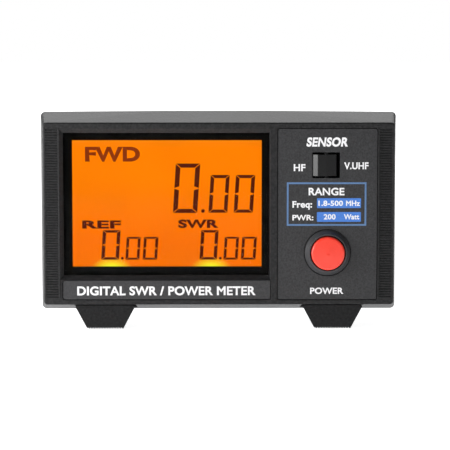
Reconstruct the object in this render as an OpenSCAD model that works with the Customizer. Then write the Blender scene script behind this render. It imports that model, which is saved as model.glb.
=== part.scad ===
// Desktop digital SWR and power meter for amateur radio.
// +X is right, +Z is up and the front faces -Y. The part stands on its two tilt legs and its rear feet.

/* [Front] */
// Width of the front face
face_w = 150; // [146:1:156]
// Height of the front face
face_h = 78; // [76:1:80]
// Depth of the tapered front moulding
bezel_d = 22; // [21:1:26]
// How far each side wall flares outwards over the moulding's depth
flare_x = 2.8; // [2.4:0.1:4]
// How far the top wall flares outwards over the moulding's depth
flare_z = 4.2; // [4:0.1:5]
// How far the bottom wall flares outwards over the moulding's depth
flare_bottom = 4.55; // [4:0.05:5]
// Rise of the moulding's crowned rear rim at its middle
crown = 0.4; // [0:0.1:0.6]
// Pitch of the ribs in the two fluted strips
rib_pitch = 1.1; // [1.1:0.1:1.6]

/* [Display] */
// Width of the display window
window_w = 87.9; // [84:0.1:88]
// Height of the display window
window_h = 60.8; // [56:0.1:61]
// Thickness of the clear window
window_t = 1.5; // [1:0.1:1.5]

/* [Controls] */
// Outside diameter of the push button's collar
collar_dia = 19.4; // [18:0.1:20]
// Diameter of the push button's cap
cap_dia = 14.2; // [12:0.1:14.2]
// Travel of the push button
press = 3; // [1:0.5:3]
// Tilt of the rocker either side of its middle
rocker_tilt = 18; // [8:1:18]

/* [Tilt legs] */
// Height of the front face's lower edge over the leg tips
leg_drop = 10.4; // [9:0.1:11]
// Distance from the centre line to the middle of each leg
leg_x = 48.8; // [46:0.1:50]
// Width of a leg at its top
leg_top_w = 25.6; // [22:0.1:25.6]
// Width of a leg at its tip
leg_tip_w = 15.5; // [13:0.1:16]

/* [Case] */
// Distance from the front face to the back edge of the cover
case_d = 100; // [98:1:110]
// Thickness of the sheet metal
sheet = 1.2; // [0.8:0.1:1.2]
// Height of the rubber feet
foot_h = 4; // [3:0.1:4.5]

/* [Hidden] */
$fn = 48;
fine = 0.01;
fit = 0.02;

z_bot = leg_drop;
z_top = leg_drop + face_h;
face_x = face_w / 2;
rim_x = face_x + flare_x;
rim_bot = z_bot - flare_bottom;
rim_top = z_top + flare_z;

cover_y = bezel_d - 4.6;
cover_x = face_x;
cover_bot = rim_bot + 2.6;
cover_top = rim_top - 2.6;
panel_y = case_d - 1.8;
panel_t = 1.6;
panel_out = panel_y + panel_t;
socket_len = 14.2;

plate_y = 0.3;
plate_t = 1.2;
floor_y = 1.6;
wall_y = 3.4;

cap_front = 4.6;
rear_out = panel_out + socket_len;
face_y = -(rear_out - cap_front) / 2;

window_x0 = -66.4;
window_x1 = window_x0 + window_w;
window_z0 = z_bot + 12.7;
window_z1 = window_z0 + window_h;
window_mid = (window_x0 + window_x1) / 2;
glass_y = floor_y + window_t + 0.5;
guide_y = glass_y + 2.5;
board_y = guide_y + 4.8;
view = [-62.7, z_bot + 16.2, 18.3, z_bot + 70.4];

title = [-66.7, z_bot + 2.3, 22.0, z_bot + 10.4];
control = [25.2, z_bot + 2.2, 67.6, z_bot + 75.3];

rocker = [45.75, plate_y + 1.0, z_bot + 59.8];
rib_deep = 0.45;

rocker_r = 5.75;
rocker_h = 9.2;
crest = [4.18, -1.6];
crease = -0.9;
rocker_open = [5.9, 5.5];

button = [46.5, 0, z_bot + 22.35];
cap_r = cap_dia / 2;
bore_r = cap_r + 0.5;
barrel_r = bore_r + 0.45;
cap_back = 3;
guide_floor = 9.5;
sink_y = 1.2;

hinge_y = 4.8;
hinge_z = z_bot + 1.0;
knuckle_r = 1.9;
pin_r = 0.8;
leg_t = 4.2;
leg_front = 0.7;
pocket_x = leg_top_w / 2 + 0.5;
pocket_back = 16.2;
teeth = 14;

socket_x = [56, 22, -22, -56];
socket_z = z_bot + 48;
socket_r = 7.94;
socket_pitch = 18.3;
box_x = [8, 70];
box_z = [socket_z - 16, socket_z + 16];
box_y = 72.2;
line_y = 79;

jack = [0, z_bot + 14];
foot_at = [[62, 38], [62, 88]];
standoff_at = [[54, 38], [54, 86]];
chassis_z = cover_bot + sheet;
pcb_t = 1.6;
pcb_z = chassis_z + 5.8;
bracket_z = [z_bot + 20, z_bot + 58];
side_screw_at = [for (y = [27, 91], z = bracket_z) [y, z]];
board_screw_at = [for (x = [-69.6, 25.2], z = [z_bot + 8.5, z_bot + 72.6]) [x, z]];
shank_r = 1.45;

// Puts geometry drawn from the front face into the part's frame.
module from_face() translate([0, face_y, 0]) children();

// Extrudes an outline in X and Z along +Y, from y0.
module upright(y0, t) translate([0, y0 + t, 0]) rotate([90, 0, 0]) linear_extrude(t) children();

// Extrudes an outline in Y and Z along +X, from x0.
module sideways(x0, t) translate([x0, 0, 0]) rotate([90, 0, 90]) linear_extrude(t) children();

// A box between two corners.
module block(low, high) translate(low) cube(high - low);

// A rod along Y.
module rod_y(x, z, r, y0, y1) translate([x, y0, z]) rotate([-90, 0, 0]) cylinder(r = r, h = y1 - y0);

// A rod along X.
module rod_x(y, z, r, x0, x1) translate([x0, y, z]) rotate([0, 90, 0]) cylinder(r = r, h = x1 - x0);

// A turned profile of radius and depth points, with its axis along Y.
module turned_y(x, z) translate([x, 0, z]) rotate([-90, 0, 0]) rotate_extrude() children();

// An outline with rounded corners between two corners.
module round_rect(x0, z0, x1, z1, r) {
    translate([x0 + r, z0]) square([x1 - x0 - 2 * r, z1 - z0]);
    translate([x0, z0 + r]) square([x1 - x0, z1 - z0 - 2 * r]);
    for (x = [x0 + r, x1 - r], z = [z0 + r, z1 - r]) translate([x, z]) circle(r);
}

// An outline given as [x0, z0, x1, z1], grown on every side.
module outline(a, grow, r) round_rect(a[0] - grow, a[1] - grow, a[2] + grow, a[3] + grow, r);

// A screw with its head outwards along +Z, the seat at z = 0.
module screw(head_r, head_h, shank) {
    difference() {
        cylinder(r = head_r, h = head_h);
        for (a = [0, 90]) rotate(a) translate([-head_r * 0.55, -0.3, head_h - 0.8]) cube([head_r * 1.1, 0.6, 1]);
    }
    translate([0, 0, -shank]) cylinder(r = shank_r, h = shank);
}

// The moulding's solid outside: a small edge break, the front face, the flared rim and its crown.
module bezel_outside() hull($fn = 32) {
    upright(0, fine) round_rect(-face_x + 0.5, z_bot + 0.15, face_x - 0.5, z_top - 0.5, 1.1);
    upright(0.5, fine) round_rect(-face_x, z_bot, face_x, z_top, 1.5);
    upright(bezel_d - fine, fine) round_rect(-rim_x, rim_bot, rim_x, rim_top, 2);
    upright(bezel_d - fine, fine) translate([-24, z_bot]) square([48, rim_top + crown - z_bot]);
}

// The hollow behind the front wall, which opens into the pocket for the case.
module bezel_hollow() {
    hull($fn = 32) {
        upright(wall_y, fine) round_rect(-face_x + 2.6, z_bot + 2.8, face_x - 2.6, z_top - 2.6, 1);
        upright(cover_y - 0.1, fine) round_rect(-cover_x + 0.4, z_bot + 0.2, cover_x - 0.4, z_top + 0.6, 1);
    }
    block([-cover_x - 0.2, cover_y - 0.2, cover_bot - 0.2], [cover_x + 0.2, bezel_d + 1, cover_top + 0.2]);
}

// The window's bevelled edge, down to the clear opening.
module window_bevel() hull() {
    upright(-fine, fine) square_between([window_x0 - 1.6, window_z0 - 2, window_x1 + 0.5, window_z1 + 1.8]);
    upright(floor_y, fine) square_between([window_x0, window_z0, window_x1, window_z1]);
}

module square_between(a) translate([a[0], a[1]]) square([a[2] - a[0], a[3] - a[1]]);

// A comb of grooves for one fluted strip.
module rib_grooves(x0, x1) {
    count = floor((face_h - 5) / rib_pitch);
    start = z_bot + (face_h - count * rib_pitch) / 2;
    sideways(x0, x1 - x0) polygon(concat(
        [[-1, start], [0, start]],
        [for (i = [0 : count - 1]) each [
            [0, start + (i + 0.45) * rib_pitch], [rib_deep, start + (i + 0.5) * rib_pitch],
            [rib_deep, start + (i + 0.9) * rib_pitch], [0, start + (i + 0.95) * rib_pitch]]],
        [[0, start + count * rib_pitch], [-1, start + count * rib_pitch]]));
}

module front_bezel() color("#2b2b2c") from_face() difference() {
    union() {
        difference() {
            bezel_outside();
            bezel_hollow();
        }
        for (s = [-1, 1]) {
            block([s * leg_x - pocket_x - 1.6, 2, z_bot - 0.1],
                [s * leg_x + pocket_x + 1.6, pocket_back + 0.9, z_bot + 4.6]);
            for (z = bracket_z) rod_y(s * 69.6, z, 2.6, wall_y - 0.4, 14.8);
            block([s > 0 ? 67.9 : -68.4, -0.3, z_bot + 3], [s > 0 ? 68.4 : -67.9, 1, z_top - 2.8]);
        }
        for (p = board_screw_at) rod_y(p[0], p[1], 2.6, wall_y - 0.4, board_y);
    }
    window_bevel();
    upright(floor_y, 3) square_between([window_x0 - 1, window_z0 - 1, window_x1 + 1, window_z1 + 1]);
    upright(-1, 1 + floor_y) outline(title, 0.3, 1.2);
    upright(-1, 1 + floor_y) outline(control, 0.3, 1.2);
    rib_grooves(-face_x + 1.1, -68.6);
    rib_grooves(68.7, face_x - 1.1);
    block([rocker.x - 6.6, 0, rocker.z - 6.15], [rocker.x + 6.6, 5, rocker.z + 6.15]);
    rod_y(button.x, button.z, barrel_r + 0.15, 0, 5);
    for (s = [-1, 1]) {
        block([s * leg_x - pocket_x, 2.6, 0], [s * leg_x + pocket_x, pocket_back, z_bot + 3.3]);
        block([s * leg_x - pocket_x, 0.55, 0], [s * leg_x + pocket_x, 3, z_bot]);
        rod_x(hinge_y, hinge_z, pin_r + fit, s * leg_x - pocket_x - 1.3, s * leg_x + pocket_x + 1.3);
        for (z = bracket_z) rod_y(s * 69.6, z, shank_r + fit, 6, 15);
    }
    for (p = board_screw_at) rod_y(p[0], p[1], shank_r + fit, 5, board_y + 1);
}

module display_window() color("#0c0c0d", 0.6) from_face()
    upright(floor_y, window_t) outline([window_x0, window_z0, window_x1, window_z1], 0.8, 0.4);

module display_gasket() color("#111111") from_face() upright(floor_y + window_t + 0.05, 0.4) difference() {
    outline([window_x0, window_z0, window_x1, window_z1], 0.6, 0.4);
    outline(view, 0.02, 0.2);
}

module lcd_cell() color("#ff8000") from_face() {
    upright(glass_y, 1.15) square_between([view[0] - 1.7, view[1] - 3.4, view[2] + 1.7, view[3] + 3.4]);
    upright(glass_y + 1.15, 1.15) square_between([view[0] - 2.2, view[1] - 3.6, view[2] + 2.2, view[3] + 3.6]);
}

module light_guide() color("#fff2df") from_face()
    upright(guide_y, 3) outline(view, 0.4, 0.5);

module backlight_leds() color("#ffe040") from_face() for (x = [-46.1, -3.4])
    block([x - 1.6, guide_y + 0.3, view[1] - 2.0], [x + 1.6, guide_y + 2.7, view[1] - 0.5]);

module lcd_holder() color("white") from_face() difference() {
    upright(guide_y, 4.4) outline([window_x0, window_z0, window_x1, window_z1], 0.5, 0.8);
    upright(guide_y - 1, 4.4) square_between([view[0] - 0.7, view[1] - 2.1, view[2] + 0.7, view[3] + 0.6]);
    for (z = [view[1] - 3.4, view[3] + 1.6]) block([-61, guide_y - 1, z - 0.1], [17, guide_y + 6, z + 1.1]);
}

module contact_strips() color("#e8a0a0") from_face() for (z = [view[1] - 3.4, view[3] + 1.6])
    block([-60, guide_y + 0.05, z], [16, board_y - 0.05, z + 1]);

module display_board() color("#1f6b3a") from_face() difference() {
    upright(board_y, pcb_t) round_rect(-72, z_bot + 6.4, 28.4, z_top - 2.6, 1.5);
    for (p = board_screw_at) rod_y(p[0], p[1], 1.6, board_y - 1, board_y + 3);
    for (z = bracket_z) rod_y(-69.6, z, 3, board_y - 1, board_y + 3);
}

module display_board_screws() color("silver") from_face() for (p = board_screw_at)
    translate([p[0], board_y + pcb_t, p[1]]) rotate([-90, 0, 0]) screw(2.4, 1.7, 6);

module display_header() color("#e9e4d2") from_face()
    block([-30, board_y + pcb_t, z_bot + 17.2], [-10, board_y + pcb_t + 2.4, z_bot + 23.4]);

module title_plate() color("#454547") from_face() upright(plate_y, plate_t) outline(title, 0, 0.9);

module control_plate() color("#3c3c3e") from_face() difference() {
    upright(plate_y, plate_t) outline(control, 0, 0.9);
    upright(-1, 4) round_rect(rocker.x - rocker_open[0], rocker.z - rocker_open[1],
        rocker.x + rocker_open[0], rocker.z + rocker_open[1], 0.3);
    rod_y(button.x, button.z, barrel_r + 0.15, -1, 4);
    rod_y(button.x, button.z, collar_dia / 2 + 0.45, -1, sink_y);
}

// The switch's housing, with an ear above and below the paddle that carries its pin.
module rocker_housing() color("#161616") from_face() translate([rocker.x, 0, rocker.z]) difference() {
    union() {
        block([-6.6, wall_y + 0.1, -6.9], [6.6, wall_y + 10, 6.9]);
        block([-6.45, floor_y + 0.1, -6], [6.45, wall_y + 0.2, 6]);
        for (s = [-1, 1]) block([-0.9, 0.7, s > 0 ? 4.95 : -5.4], [0.9, 8, s > 0 ? 5.4 : -4.95]);
    }
    difference() {
        block([-6, 0, -5.45], [6, 8.2, 5.45]);
        for (s = [-1, 1]) block([-0.9, -1, s > 0 ? 4.95 : -6], [0.9, 9, s > 0 ? 6 : -4.95]);
    }
    translate([0, rocker.y, -6.5]) cylinder(r = 0.5 + fit, h = 13);
}

module rocker_terminals() color("silver") from_face() for (i = [-1 : 1])
    block([rocker.x - 1.2, wall_y + 10, rocker.z + i * 4 - 0.3], [rocker.x + 1.2, wall_y + 13.5, rocker.z + i * 4 + 0.3]);

// Half of the paddle's section: a shallow slope from the crease out to a rounded crest, then a sloping end.
module rocker_half() polygon([
    [0, 3.6], [0, crease], [crest[0] - 0.35, crest[1]], [crest[0] - 0.05, crest[1] + 0.04],
    [crest[0] + 0.2, crest[1] + 0.25], [rocker_r - 0.12, 0.6], [rocker_r - 0.04, 1.1], [5.1, 2.6], [3.9, 3.6]]);

module rocker_section() for (s = [0, 1]) mirror([s, 0]) rocker_half();

module rocker_paddle() color("#1a1a1a") from_face() translate(rocker) rotate(rocker_tilt) difference() {
    translate([0, 0, -rocker_h / 2]) linear_extrude(rocker_h) rocker_section();
    translate([0, 0, -7]) cylinder(r = 0.55, h = 14);
}

module rocker_pin() color("silver") from_face() translate([rocker.x, rocker.y, rocker.z - 5.4]) cylinder(r = 0.5, h = 10.8);

// Collar, barrel and cell of the push switch in one turned body.
module power_switch_body() color("#1b1b1c") from_face() turned_y(button.x, button.z) polygon([
    [bore_r, -2.6], [bore_r + 0.55, -2.6], [collar_dia / 2 - 0.25, -0.4], [collar_dia / 2, 0], [collar_dia / 2, sink_y],
    [barrel_r, sink_y], [barrel_r, 24], [0, 24], [0, 18], [2.4, 18], [2.4, 12], [2.06, 12],
    [2.06, guide_floor], [bore_r, guide_floor]]);

module power_switch_nut() color("#c9b27a") from_face() difference() {
    translate([button.x, wall_y + 0.1, button.z]) rotate([-90, 30, 0]) cylinder(r = 11, h = 3, $fn = 6);
    rod_y(button.x, button.z, barrel_r + fit, 0, 9);
}

module power_switch_terminals() color("silver") from_face() for (s = [-1, 1])
    block([button.x + s * 4 - 0.4, 24, button.z - 1.4], [button.x + s * 4 + 0.4, 29, button.z + 1.4]);

module power_button_cap() color("#e33a30") from_face() turned_y(button.x, button.z) polygon(concat(
    [[0, cap_back], [0, -cap_front]],
    [for (a = [0 : 15 : 90]) [cap_r - 0.9 + 0.9 * sin(a), -cap_front + 1.15 - 0.9 * cos(a)]],
    [[cap_r, cap_back]]));

module power_button_stem() color("#d8d8d8") from_face() rod_y(button.x, button.z, 2, cap_back, 13.6);

module power_return_spring() color("#9a9a9c") from_face() for (i = [0 : 2]) translate([0, 7 + i * 0.95, 0])
    turned_y(button.x, button.z) translate([3.4, 0]) circle(0.3);

// One leg, drawn about the centre line: a tapered blade with a toothed tip, a web and a knuckle.
module tilt_leg() difference() {
    union() {
        upright(leg_front, leg_t) polygon(concat(
            [[-leg_top_w / 2, z_bot - 0.95], [-leg_top_w / 2 + 1.1, z_bot - 0.3],
                [leg_top_w / 2 - 1.1, z_bot - 0.3], [leg_top_w / 2, z_bot - 0.95]],
            [for (i = [0 : teeth - 1]) let (x = leg_tip_w * (0.5 - i / teeth), p = leg_tip_w / teeth) each [
                [x, 0], [x - 0.45 * p, 0], [x - 0.6 * p, 0.5], [x - 0.88 * p, 0.5]]],
            [[-leg_tip_w / 2, 0]]));
        block([-pocket_x + 0.9, hinge_y - 1.6, z_bot - 2], [pocket_x - 0.9, hinge_y + 0.6, hinge_z]);
        rod_x(hinge_y, hinge_z, knuckle_r, -pocket_x + 0.9, pocket_x - 0.9);
    }
    rod_x(hinge_y, hinge_z, pin_r + 0.05, -pocket_x, pocket_x);
}

module tilt_leg_left() color("#2a2a2b") from_face() translate([-leg_x, 0, 0]) tilt_leg();

module tilt_leg_right() color("#2a2a2b") from_face() translate([leg_x, 0, 0]) tilt_leg();

module leg_pins() color("silver") from_face() for (s = [-1, 1])
    rod_x(hinge_y, hinge_z, pin_r, s * leg_x - pocket_x - 1.2, s * leg_x + pocket_x + 1.2);

// Angle brackets that tie the front moulding to the cover.
module front_brackets() color("silver") from_face() for (s = [-1, 1], z = bracket_z) difference() {
    union() {
        block([s > 0 ? 66.4 : -73.7, 14.9, z - 6], [s > 0 ? 73.7 : -66.4, 16.1, z + 6]);
        block([s > 0 ? 72.5 : -73.7, 14.9, z - 6], [s > 0 ? 73.7 : -72.5, 33, z + 6]);
    }
    rod_y(s * 69.6, z, 1.6, 14, 17);
    rod_x(side_screw_at[0][0], z, shank_r + fit, s > 0 ? 70 : -75, s > 0 ? 75 : -70);
}

module bezel_screws() color("silver") from_face() for (s = [-1, 1], z = bracket_z)
    translate([s * 69.6, 16.1, z]) rotate([-90, 0, 0]) screw(2.6, 1.8, 9);

module cover_section() difference() {
    round_rect(-cover_x, cover_bot - 5, cover_x, cover_top, 1.8);
    round_rect(-cover_x + sheet, cover_bot - 8, cover_x - sheet, cover_top - sheet, 0.6);
    translate([-100, cover_bot - 20]) square([200, 20]);
}

module top_cover() color("#3a3a3c") from_face() difference() {
    upright(cover_y, case_d - cover_y) cover_section();
    for (p = side_screw_at) rod_x(p[0], p[1], 1.7, -100, 100);
}

module cover_screws() color("#2c2c2e") from_face() for (s = [-1, 1], p = side_screw_at)
    translate([s * cover_x, p[0], p[1]]) rotate([0, s * 90, 0]) screw(2.9, 1.8, 4);

module bottom_chassis() color("#8f9194") from_face() difference() {
    union() {
        block([-cover_x + 1.4, cover_y, cover_bot], [cover_x - 1.4, panel_y - 0.2, chassis_z]);
        for (s = [-1, 1]) block([s > 0 ? cover_x - 1.4 - sheet : -cover_x + 1.4, cover_y, cover_bot],
            [s > 0 ? cover_x - 1.4 : -cover_x + 1.4 + sheet, panel_y - 0.2, chassis_z + 12]);
    }
    for (s = [-1, 1], p = concat(foot_at, standoff_at)) translate([s * p[0], p[1], 0]) cylinder(r = 1.6, h = 30);
}

module rear_panel() color("#2f3032") from_face() difference() {
    union() {
        upright(panel_y, panel_t) round_rect(-cover_x + 1.4, chassis_z + 0.2, cover_x - 1.4, cover_top - sheet - 0.2, 0.8);
        for (s = [-1, 1]) block([s > 0 ? cover_x - 2.6 : -cover_x + 1.4, 84, z_bot + 14],
            [s > 0 ? cover_x - 1.4 : -cover_x + 2.6, panel_y + 0.5, z_bot + 64]);
    }
    for (x = socket_x) {
        rod_y(x, socket_z, socket_r + 0.2, 90, 110);
        for (dx = [-1, 1], dz = [-1, 1]) rod_y(x + dx * socket_pitch / 2, socket_z + dz * socket_pitch / 2, 1.6, 90, 110);
    }
    rod_y(jack[0], jack[1], 4.1, 90, 110);
    rod_y(0, socket_z, 2.1, 90, 110);
    for (p = [side_screw_at[2], side_screw_at[3]]) rod_x(p[0], p[1], shank_r + fit, -100, 100);
}

module rubber_feet() color("#1d1d1d") from_face() for (s = [-1, 1], p = foot_at)
    translate([s * p[0], p[1], cover_bot - foot_h]) difference() {
        cylinder(r1 = 6, r2 = 6.8, h = foot_h);
        translate([0, 0, -1]) cylinder(r = 1.6, h = foot_h + 2);
        translate([0, 0, -1]) cylinder(r = 3.2, h = 3.2);
    }

module foot_screws() color("silver") from_face() for (s = [-1, 1], p = foot_at)
    translate([s * p[0], p[1], cover_bot - foot_h + 2.2]) rotate([180, 0, 0]) screw(2.8, 1.6, 6.5);

module foot_nuts() color("silver") from_face() for (s = [-1, 1], p = foot_at) difference() {
    translate([s * p[0], p[1], chassis_z]) cylinder(r = 3.1, h = 2.4, $fn = 6);
    translate([s * p[0], p[1], 0]) cylinder(r = shank_r + fit, h = 30);
}

module main_board() color("#1f6b3a") from_face() difference() {
    block([-62, 32, pcb_z], [62, 92, pcb_z + pcb_t]);
    for (s = [-1, 1], p = standoff_at) translate([s * p[0], p[1], 0]) cylinder(r = 1.6, h = 30);
}

module board_standoffs() color("#c9b27a") from_face() for (s = [-1, 1], p = standoff_at) difference() {
    translate([s * p[0], p[1], chassis_z]) cylinder(r = 3, h = pcb_z - chassis_z, $fn = 6);
    translate([s * p[0], p[1], 0]) cylinder(r = shank_r + fit, h = 30);
}

module board_screws() color("silver") from_face() for (s = [-1, 1], p = standoff_at)
    translate([s * p[0], p[1], pcb_z + pcb_t]) screw(2.6, 1.8, 6.5);

module board_chips() color("#18181a") from_face() translate([0, 0, pcb_z + pcb_t]) {
    block([-7, 53, 0], [7, 67, 1.6]);
    for (x = [-30, -20, 20, 30]) block([x - 2, 70, 0], [x + 2, 75, 1.5]);
}

module board_capacitors() color("#26324a") from_face() for (x = [-44, -34, 34])
    translate([x, 52, pcb_z + pcb_t]) cylinder(r = 4, h = 11);

module voltage_regulator() color("#1c1c1e") from_face() translate([44, 66, pcb_z + pcb_t]) {
    block([-5, -2.2, 1], [5, 2.2, 10]);
    block([-5, -3.4, 1], [5, -2.2, 16]);
    for (x = [-2.5, 0, 2.5]) block([x - 0.4, -0.3, 0], [x + 0.4, 0.3, 1]);
}

module board_header() color("#e9e4d2") from_face() translate([0, 0, pcb_z + pcb_t]) block([-30, 34, 0], [-10, 38, 8]);

// Flat ribbon from the display board back to the main board.
module display_ribbon() color("#8c8f96") from_face() sideways(-29, 18) polygon([
    [board_y + pcb_t + 2.4, z_bot + 20], [36, z_bot + 20], [36, pcb_z + pcb_t + 8],
    [36.6, pcb_z + pcb_t + 8], [36.6, z_bot + 20.6], [board_y + pcb_t + 2.4, z_bot + 20.6]]);

module sensor_leads() color("#b8442e") from_face() for (x = [-44, -34, 34, 44])
    translate([x, 82, pcb_z + pcb_t]) cylinder(r = 0.9, h = box_z[0] - pcb_z - pcb_t);

// A soldered tinplate screen for one coupler, open at the front for its lid.
module coupler_box(side) {
    x0 = side > 0 ? box_x[0] : -box_x[1];
    difference() {
        block([x0, box_y, box_z[0]], [x0 + 62, panel_y - 0.05, box_z[1]]);
        block([x0 + 0.8, box_y - 1, box_z[0] + 0.8], [x0 + 61.2, panel_y - 0.85, box_z[1] - 0.8]);
        for (x = socket_x) rod_y(x, socket_z, socket_r + 0.2, 90, 110);
        for (x = socket_x, dx = [-1, 1], dz = [-1, 1])
            rod_y(x + dx * socket_pitch / 2, socket_z + dz * socket_pitch / 2, 1.6, 90, 110);
    }
}

module coupler_lid(side) upright(box_y - 0.9, 0.8)
    round_rect(side > 0 ? box_x[0] : -box_x[1], box_z[0], side > 0 ? box_x[1] : -box_x[0], box_z[1], 0.5);

module coupler_board(side) difference() {
    x0 = side > 0 ? box_x[0] : -box_x[1];
    block([x0 + 1, 90, box_z[0] + 1], [x0 + 61, 91.6, box_z[1] - 1]);
    for (x = socket_x) rod_y(x, socket_z, 1.5, 80, 100);
    for (x = socket_x, dx = [-1, 1], dz = [-1, 1])
        rod_y(x + dx * socket_pitch / 2, socket_z + dz * socket_pitch / 2, 3.4, 80, 100);
}

module hf_coupler_box() color("#b9bcc0") from_face() coupler_box(1);
module hf_coupler_lid() color("#c3c6ca") from_face() coupler_lid(1);
module hf_coupler_board() color("#1f6b3a") from_face() coupler_board(1);
module hf_line() color("#c98a4b") from_face() rod_x(line_y, socket_z, 0.8, socket_x[1] - 1, socket_x[0] + 1);
module hf_toroids() color("#5a6a72") from_face() for (x = [33, 45])
    translate([x, line_y, socket_z]) rotate([0, 90, 0]) rotate_extrude() translate([4.2, 0]) circle(2);
module vuhf_coupler_box() color("#b9bcc0") from_face() coupler_box(-1);
module vuhf_coupler_lid() color("#c3c6ca") from_face() coupler_lid(-1);
module vuhf_coupler_board() color("#1f6b3a") from_face() coupler_board(-1);
module vuhf_line() color("#c98a4b") from_face()
    block([socket_x[3] - 1.2, line_y - 0.4, socket_z - 1.5], [socket_x[2] + 1.2, line_y + 0.4, socket_z + 1.5]);

// Square-flange coaxial sockets, one for each radio and aerial.
module socket_shells() color("#d0d2d4") from_face() for (x = socket_x) difference() {
    union() {
        upright(panel_out, 1.6) round_rect(x - 12.7, socket_z - 12.7, x + 12.7, socket_z + 12.7, 1.5);
        rod_y(x, socket_z, socket_r, panel_out - 3, rear_out);
    }
    rod_y(x, socket_z, 6.3, 90, 120);
    for (dx = [-1, 1], dz = [-1, 1]) rod_y(x + dx * socket_pitch / 2, socket_z + dz * socket_pitch / 2, 1.6, 90, 110);
}

module socket_insulators() color("#f2efe6") from_face() for (x = socket_x)
    turned_y(x, socket_z) translate([3.02, panel_out - 2.6]) square([3.26, socket_len + 0.8]);

// Each contact is a tube with a solder tail that reaches its line.
module socket_contacts() color("#d9b45a") from_face() for (x = socket_x) turned_y(x, socket_z) polygon([
    [0, line_y + 0.9], [1.3, line_y + 0.9], [1.3, 97], [3, 97], [3, rear_out - 1.2], [2, rear_out - 1.2],
    [2, rear_out - 11.2], [0, rear_out - 11.2]]);

module socket_screws() color("silver") from_face() for (x = socket_x, dx = [-1, 1], dz = [-1, 1])
    translate([x + dx * socket_pitch / 2, panel_out + 1.6, socket_z + dz * socket_pitch / 2])
        rotate([-90, 0, 0]) screw(2.6, 1.7, 6);

// Barrel power inlet: a plain mouth, then a wider chamber for the contact spring round the centre pin.
module dc_jack() color("#17171a") from_face() turned_y(jack[0], jack[1]) polygon([
    [0, 88], [4, 88], [4, panel_out], [5.6, panel_out], [5.6, panel_out + 2], [2.9, panel_out + 2],
    [2.9, panel_out - 1], [3.4, panel_out - 1], [3.4, 91], [1.05, 91], [1.05, panel_out - 3], [0, panel_out - 3]]);

module dc_jack_nut() color("silver") from_face() difference() {
    translate([jack[0], panel_y - 2.6, jack[1]]) rotate([-90, 0, 0]) cylinder(r = 5.9, h = 2.5, $fn = 6);
    rod_y(jack[0], jack[1], 4 + fit, 90, 110);
}

// Earth stud with its inner nut and knurled thumb nut in one piece with it.
module ground_terminal() color("#c9b27a") from_face() {
    rod_y(0, socket_z, 2, 93, panel_out + 12.4);
    translate([0, panel_y - 3.1, socket_z]) rotate([-90, 0, 0]) cylinder(r = 4, h = 3, $fn = 6);
    rod_y(0, socket_z, 4.6, panel_out, panel_out + 0.8);
    rod_y(0, socket_z, 5.4, panel_out + 0.8, panel_out + 6);
}

front_bezel();
display_window();
display_gasket();
lcd_cell();
light_guide();
backlight_leds();
lcd_holder();
contact_strips();
display_board();
display_board_screws();
display_header();
title_plate();
control_plate();
rocker_housing();
rocker_terminals();
rocker_paddle();
rocker_pin();
power_switch_body();
power_switch_nut();
power_switch_terminals();
power_button_cap();
power_button_stem();
power_return_spring();
tilt_leg_left();
tilt_leg_right();
leg_pins();
front_brackets();
bezel_screws();
top_cover();
cover_screws();
bottom_chassis();
rear_panel();
rubber_feet();
foot_screws();
foot_nuts();
main_board();
board_standoffs();
board_screws();
board_chips();
board_capacitors();
voltage_regulator();
board_header();
display_ribbon();
sensor_leads();
hf_coupler_box();
hf_coupler_lid();
hf_coupler_board();
hf_line();
hf_toroids();
vuhf_coupler_box();
vuhf_coupler_lid();
vuhf_coupler_board();
vuhf_line();
socket_shells();
socket_insulators();
socket_contacts();
socket_screws();
dc_jack();
dc_jack_nut();
ground_terminal();
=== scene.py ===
import math
import bmesh
import bpy
from mathutils import Matrix, Vector


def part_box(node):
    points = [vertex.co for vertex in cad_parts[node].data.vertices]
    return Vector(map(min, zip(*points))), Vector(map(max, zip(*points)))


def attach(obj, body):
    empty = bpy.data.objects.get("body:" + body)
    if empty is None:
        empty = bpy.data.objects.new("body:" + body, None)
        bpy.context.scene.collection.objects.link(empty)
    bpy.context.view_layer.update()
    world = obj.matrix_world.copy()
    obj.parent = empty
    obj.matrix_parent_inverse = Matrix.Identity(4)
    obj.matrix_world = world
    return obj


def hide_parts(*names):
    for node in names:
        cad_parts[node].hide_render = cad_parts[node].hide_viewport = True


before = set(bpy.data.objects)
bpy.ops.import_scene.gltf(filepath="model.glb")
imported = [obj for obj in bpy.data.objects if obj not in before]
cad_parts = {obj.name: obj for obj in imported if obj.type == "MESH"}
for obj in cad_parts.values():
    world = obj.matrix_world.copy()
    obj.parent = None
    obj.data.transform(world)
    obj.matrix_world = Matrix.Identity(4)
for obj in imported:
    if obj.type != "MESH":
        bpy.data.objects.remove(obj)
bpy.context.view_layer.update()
MM = 0.001

# Camera. It stands about 0.7 m in front of the meter and a little above it, slightly to its left,
# and looks at a point just below the middle of the front face.
face_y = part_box("front_bezel")[0].y + 0.3 * MM
face_bottom = 10.4 * MM
eye_distance = 0.7
aim = Vector((2.6 * MM, face_y, face_bottom + 34.3 * MM))
eye = Vector((-5 * MM, face_y - eye_distance, face_bottom + 95.3 * MM))
lens_data = bpy.data.cameras.new("camera")
lens_data.sensor_width = 36
lens_data.lens = 131.6
lens_data.clip_start = 0.05
camera = bpy.data.objects.new("camera", lens_data)
camera.location = eye
camera.rotation_euler = (aim - eye).to_track_quat("-Z", "Y").to_euler()
bpy.context.scene.collection.objects.link(camera)
bpy.context.scene.camera = camera
bpy.context.scene.view_settings.view_transform = "Standard"


def rgb(hex_code):
    """An sRGB hex colour as linear red, green, blue and alpha."""
    parts = [int(hex_code[i:i + 2], 16) / 255 for i in (1, 3, 5)]
    return tuple(c / 12.92 if c <= 0.04045 else ((c + 0.055) / 1.055) ** 2.4 for c in parts) + (1.0,)


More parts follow.
